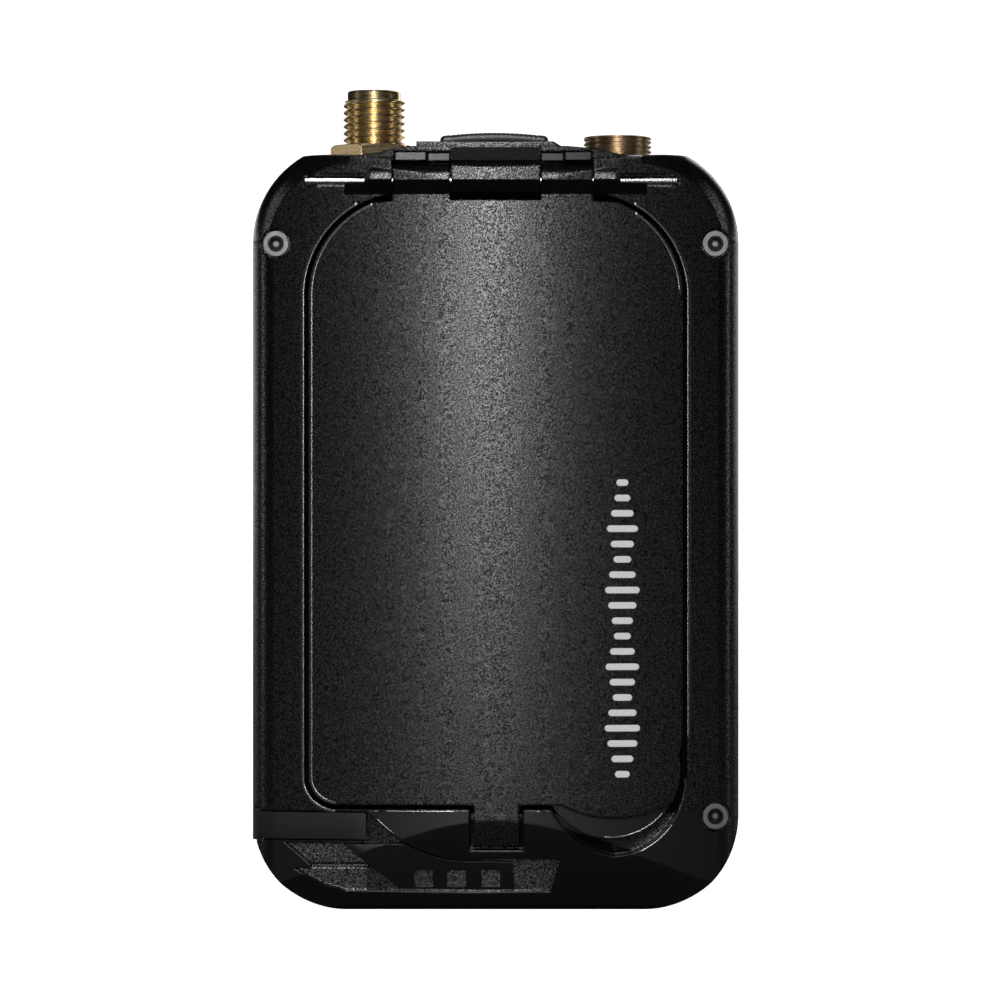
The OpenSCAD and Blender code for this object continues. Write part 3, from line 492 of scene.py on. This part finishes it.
# ---------------------------------------------------------------- power button
def power_button():
    lo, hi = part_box("power_button")
    cx, half, wide = (lo[0] + hi[0]) / 2, (hi[0] - lo[0]) / 2, (hi[1] - lo[1]) / 2
    z0 = hi[2] - 1.25 * MM
    verts, faces = [], []
    cols, arc = 150, 5
    r = 0.42 * MM
    for i in range(cols + 1):
        x = -half * math.cos(math.pi * i / cols)
        over = max(0.0, abs(x) - (half - r)) / r
        k = math.sqrt(max(0.0, 1 - over * over))
        crown = hi[2] - 0.38 * MM * (x / half) ** 2
        rib = 0.05 * MM * (0.5 - 0.5 * math.cos(2 * math.pi * x / (0.46 * MM))) if abs(x) < 4.6 * MM else 0.0
        top = z0 + (crown - z0 - r) + r * k - rib
        w = wide - r + r * k
        ring = [(-w, z0), (-w, top - r * 0.98)]
        for q in range(1, arc + 1):
            a = math.pi / 2 * q / arc
            ring.append((-w + r * (1 - math.cos(a)), top - r + r * math.sin(a)))
        ring += [(-y, z) for y, z in reversed(ring)]
        verts += [(cx + x, y, z) for y, z in ring]
    n = len(ring)
    for i in range(cols):
        for k in range(n):
            m = (k + 1) % n
            faces.append((i * n + k, i * n + m, (i + 1) * n + m, (i + 1) * n + k))
    faces += [tuple(range(n - 1, -1, -1)), tuple(cols * n + k for k in range(n))]
    cap = add_mesh("button_cap", verts, faces, "button", "button")
    stem_rows = [(lo[2], 0.0), (lo[2], 0.9), (lo[2] + 0.1 * MM, 1.0), (lo[2] + 0.2 * MM, 1.0),
                 (lo[2] + 0.2 * MM, 0.75), (lo[2] + 0.62 * MM, 0.75), (lo[2] + 0.62 * MM, 1.0),
                 (z0 + 0.3 * MM, 1.0), (z0 + 0.3 * MM, 0.0)]
    verts, faces, around = [], [], 40
    for z, rr in stem_rows:
        for k in range(around):
            a = 2 * math.pi * k / around
            verts.append((cx + rr * MM * math.cos(a), rr * MM * math.sin(a), z))
    for i in range(len(stem_rows) - 1):
        for k in range(around):
            m = (k + 1) % around
            faces.append((i * around + k, i * around + m, (i + 1) * around + m, (i + 1) * around + k))
    stem = add_mesh("button_stem", verts, faces, "button", "button", smooth=False)
    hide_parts("power_button")
    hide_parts("power_button")


power_button()


# ---------------------------------------------------------------- smooth face of the hood
def rounded_plate(name, x0, x1, z0, z1, y0, y1, r, material, body):
    outline = []
    corners = ((x1 - r, z1 - r, 0), (x0 + r, z1 - r, 90), (x0 + r, z0 + r, 180), (x1 - r, z0 + r, 270))
    for cxx, czz, a0 in corners:
        for k in range(7):
            a = math.radians(a0 + 15 * k)
            outline.append((cxx + r * math.cos(a), czz + r * math.sin(a)))
    rings = [(y1, 0.0), (y0 + (y1 - y0) * 0.35, 0.0), (y0, -(y1 - y0) * 0.35)]
    cx, cz = (x0 + x1) / 2, (z0 + z1) / 2
    verts, faces, n = [], [], len(outline)
    for y, grow in rings:
        for x, z in outline:
            dx, dz = x - cx, z - cz
            d = math.hypot(dx, dz)
            verts.append((x + grow * dx / d, y, z + grow * dz / d))
    for i in range(len(rings) - 1):
        for k in range(n):
            m = (k + 1) % n
            faces.append((i * n + k, i * n + m, (i + 1) * n + m, (i + 1) * n + k))
    faces += [tuple(range(n - 1, -1, -1)), tuple((len(rings) - 1) * n + k for k in range(n))]
    return add_mesh(name, verts, faces, material, body, smooth=False)


hood_face = rounded_plate("hood_face", -4.42 * MM, 4.42 * MM, 75.3 * MM, 77.35 * MM,
                          -7.36 * MM, -7.26 * MM, 0.3 * MM, "hood", "housing")

# ---------------------------------------------------------------- plain printed motif on the door
def arch_y(x):
    """Depth of the door-side surface at x, in metres, from the front of the box round all imported pieces."""
    r = BULGE_R * MM
    return CAD_LO[1] + r - math.sqrt(r * r - x * x)


def printed_bar(name, x0, x1, z0, z1):
    """Thin rounded bar laid on the bulge of the door."""
    r = min(x1 - x0, z1 - z0) / 2
    cols, verts, faces = 24, [], []
    for i in range(cols + 1):
        x = x0 + (x1 - x0) * (1 - math.cos(math.pi * i / cols)) / 2
        d = max(0.0, r - min(x - x0, x1 - x))
        h = max(r * 0.02, (z1 - z0) / 2 - r + math.sqrt(max(0.0, r * r - d * d)))
        zc = (z0 + z1) / 2
        y = arch_y(x)
        verts += [(x, y - 0.008 * MM, zc - h), (x, y - 0.008 * MM, zc + h),
                  (x, y + 0.03 * MM, zc + h), (x, y + 0.03 * MM, zc - h)]
    for i in range(cols):
        a, b = 4 * i, 4 * i + 4
        for k in range(4):
            n = (k + 1) % 4
            faces.append((a + k, b + k, b + n, a + n))
    faces += [(0, 1, 2, 3), (4 * cols + 3, 4 * cols + 2, 4 * cols + 1, 4 * cols)]
    return add_mesh(name, verts, faces, "print", "door", smooth=False)


def outline_points(hw, z0, z1, top_r, left_r, right_r):
    """Rounded rectangle of the door or its pocket, in metres, going round from the bottom left."""
    pts = []
    for cx, cz, r, a0 in ((left_r - hw, z0 + left_r, left_r, 270), (top_r - hw, z1 - top_r, top_r, 180),
                          (hw - top_r, z1 - top_r, top_r, 90), (hw - right_r, z0 + right_r, right_r, 0)):
        for k in range(25):
            a = math.radians(a0 - 3.75 * k)
            pts.append(((cx + r * math.cos(a)) * MM, (cz + r * math.sin(a)) * MM))
    return pts


TUCK_Y, TUCK_Z, TUCK_R = CAD_LO[1], 12.5 * MM, 20 * MM


def face_y(x, z):
    """Depth of the case front at x and z, in metres, with the tuck-under at its foot."""
    tuck = TUCK_Y
    if z < TUCK_Z:
        tuck += TUCK_R - math.sqrt(TUCK_R ** 2 - (TUCK_Z - z) ** 2)
        return max(arch_y(x), tuck)
    return arch_y(x)


def bead(name, pts, width, height, material, body, sink=0.0):
    """Low rounded bead laid along a line on the bulged face, finely divided; in bright metal it is a painted
    highlight along an edge.
    """
    path = [pts[0]]
    for (xa, za), (xb, zb) in zip(pts, pts[1:]):
        n = max(1, int(math.hypot(xb - xa, zb - za) / (1.2 * MM)))
        path += [(xa + (xb - xa) * k / n, za + (zb - za) * k / n) for k in range(1, n + 1)]
    verts, faces, arc = [], [], 8
    for i, (x, z) in enumerate(path):
        xa, za = path[max(0, i - 1)]
        xb, zb = path[min(len(path) - 1, i + 1)]
        d = math.hypot(xb - xa, zb - za)
        nx, nz = -(zb - za) / d, (xb - xa) / d
        for k in range(arc + 1):
            t = 1 - 2 * k / arc
            u, v = width / 2 * t, height * (1 - t * t)
            px, pz = x + nx * u, z + nz * u
            verts.append((px, face_y(px, pz) + sink - v + 0.005 * MM, pz))
    n = arc + 1
    for i in range(len(path) - 1):
        for k in range(n):
            m = (k + 1) % n
            faces.append((i * n + k, i * n + m, (i + 1) * n + m, (i + 1) * n + k))
    faces += [tuple(range(n - 1, -1, -1)), tuple((len(path) - 1) * n + k for k in range(n))]
    return add_mesh(name, verts, faces, material, body)


DOOR_Z0, DOOR_Z1, DOOR_HW = 10.9, 72.4, 18.9
rim = outline_points(DOOR_HW + 0.66, DOOR_Z0 - 0.66, DOOR_Z1 + 0.54, 10.6, 3.4, 7.6)
lip = outline_points(DOOR_HW - 0.2, DOOR_Z0 + 0.2, DOOR_Z1 - 0.2, 9.8, 2.6, 6.8)
# thin bright beads round the pocket and along the door's edge: painted highlights
for name, line, x_range, z_range, sink, body, node in (
        ("pocket_rim_left", rim, (-30, -13.4), (0, 72.0), 0.0, "housing", "main_housing"),
        ("pocket_rim_right", rim, (13.4, 30), (17.0, 72.0), 0.0, "housing", "main_housing"),
        ("door_lip_left", lip, (-30, -2.6), (0, 71.8), 0.0, "door", "door_panel"),
        ("door_lip_right", lip, (13.4, 30), (19.0, 71.8), -0.05, "door", "door_panel")):
    kept = [(x, z) for x, z in line
            if x_range[0] * MM < x < x_range[1] * MM and z_range[0] * MM < z < z_range[1] * MM]
    o = bead(name, kept, 0.4 * MM, 0.034 * MM, "rim", body, sink * MM)

def arc_points(cx, cz, r, a0, a1, n=28):
    """Points on a circle, given in millimetres and degrees, returned in metres."""
    steps = [math.radians(a0 + (a1 - a0) * k / n) for k in range(n + 1)]
    return [((cx + r * math.cos(a)) * MM, (cz + r * math.sin(a)) * MM) for a in steps]


def straight(*pts):
    return [(x * MM, z * MM) for x, z in pts]


# thin bright beads along the latch, scoop and grip edges: painted highlights
for name, line, width, height, sink, body in (
        ("latch_block_edge_left", straight((-12.3, 10.25), (-3.0, 10.25)), 0.3, 0.06, 0.0, "housing"),
        ("latch_block_edge_right", straight((3.2, 10.25), (5.4, 10.25)), 0.3, 0.06, 0.0, "housing"),
        ("tongue_slot_edge", straight((-2.4, 6.13), (2.6, 6.13)), 0.3, 0.06, 0.0, "housing"),
        ("slider_arch_edge", arc_points(-2.4, 18.9, 13.42, 224, 254), 0.3, 0.07, 0.0, "housing"),
        ("latch_recess_edge", straight((-14.9, 1.92), (-2.5, 1.72), (5.3, 1.82)), 0.28, 0.07, 0.0, "housing"),
        ("scoop_edge", arc_points(11.3, 13.45, 8.02, 262, 326), 0.4, 0.1, 0.0, "housing"),
        ("grip_edge", arc_points(11.7, 14.4, 6.83, 208, 322), 0.28, 0.06, 0.5, "door")):
    o = bead(name, line, width * MM, height * MM, "rim", body, sink * MM)

heights = [0.42, 0.62, 0.85, 1.0, 0.8, 0.55, 0.72, 0.95, 0.7, 0.48,
           0.6, 0.8, 0.98, 0.75, 0.5, 0.66, 0.88, 0.64, 0.45, 0.34]
for i, h in enumerate(heights):
    zc = 14.0 * MM + i * 1.55 * MM
    bar = printed_bar("level_mark_%02d" % (i + 1), (12.8 - 1.8 * h) * MM, (12.8 + 1.8 * h) * MM,
                      zc - 0.34 * MM, zc + 0.34 * MM)

# ---------------------------------------------------------------- stage, light, camera
def studio_surface(name, verts):
    m = bpy.data.materials.new(name)
    m.use_nodes = True
    b = m.node_tree.nodes["Principled BSDF"]
    b.inputs["Base Color"].default_value = (0.9, 0.9, 0.9, 1)
    b.inputs["Roughness"].default_value = 0.9
    b.inputs["Emission Color"].default_value = (1, 1, 1, 1)
    b.inputs["Emission Strength"].default_value = 1.0
    me = bpy.data.meshes.new(name)
    me.from_pydata(verts, [], [(0, 1, 2, 3)])
    o = bpy.data.objects.new(name, me)
    bpy.context.scene.collection.objects.link(o)
    me.materials.append(m)
    o.visible_diffuse = False
    return o


floor = studio_surface("studio_floor", [(-4, -4, 0), (4, -4, 0), (4, 1.5, 0), (-4, 1.5, 0)])
floor.visible_glossy = False
wall = studio_surface("studio_wall", [(-4, 1.5, 0), (4, 1.5, 0), (4, 1.5, 0.36), (-4, 1.5, 0.36)])
card = studio_surface("bounce_card", [(-0.6, -1.2, 0.0004), (0.6, -1.2, 0.0004),
                                      (0.6, 0.3, 0.0004), (-0.6, 0.3, 0.0004)])
card.visible_camera = False
card.visible_shadow = False
card_look = card.active_material.node_tree.nodes["Principled BSDF"]
card_look.inputs["Base Color"].default_value = (0.12, 0.12, 0.12, 1)
card_look.inputs["Emission Strength"].default_value = 0.02

world = bpy.data.worlds.new("studio_world")
bpy.context.scene.world = world
world.use_nodes = True
bg = world.node_tree.nodes["Background"]
bg.inputs["Color"].default_value = (1, 1, 1, 1)
bg.inputs["Strength"].default_value = 0.006


def area(name, where, target, w, h, radiance, colour=(1, 1, 1)):
    """Rectangular soft light of a given brightness."""
    ld = bpy.data.lights.new(name, "AREA")
    ld.shape = "RECTANGLE"
    ld.size, ld.size_y = w, h
    ld.energy = radiance * math.pi * w * h * 4
    ld.color = colour
    o = bpy.data.objects.new(name, ld)
    bpy.context.scene.collection.objects.link(o)
    o.location = where
    o.rotation_mode = "QUATERNION"
    o.rotation_quaternion = (Vector(target) - Vector(where)).to_track_quat("-Z", "Y")
    return o


mid = (0, 0, 0.045)
area("key_softbox", (-0.03, -0.95, 0.47), mid, 0.06, 0.90, 7.5)
area("left_strip", (-0.9, -0.1, 0.25), mid, 0.1, 0.7, 0.6)
area("right_strip", (0.9, -0.1, 0.25), mid, 0.1, 0.7, 0.6)

for name, where, w, h, radiance in (
        ("back_softbox", (0.35, 1.25, 0.75), 0.9, 0.7, 0.55),
        ("top_softbox", (0.0, 0.45, 1.3), 0.7, 0.5, 0.3)):
    area(name, where, mid, w, h, radiance).visible_camera = False
fill = area("fill_matte", (0.0, -1.2, 0.3), mid, 1.0, 1.0, 0.5)
fill.visible_glossy = False

cam_data = bpy.data.cameras.new("camera")
cam = bpy.data.objects.new("camera", cam_data)
bpy.context.scene.collection.objects.link(cam)
cam_data.sensor_width = 36
cam_data.lens = 150.7
cam.location = (0.44 * MM, -0.430, 0.0417)
cam.rotation_euler = (math.radians(90), 0, 0)
cam_data.clip_start = 0.01
cam_data.clip_end = 50
bpy.context.scene.camera = cam
bpy.context.scene.view_settings.view_transform = "Standard"
bpy.context.scene.view_settings.look = "None"
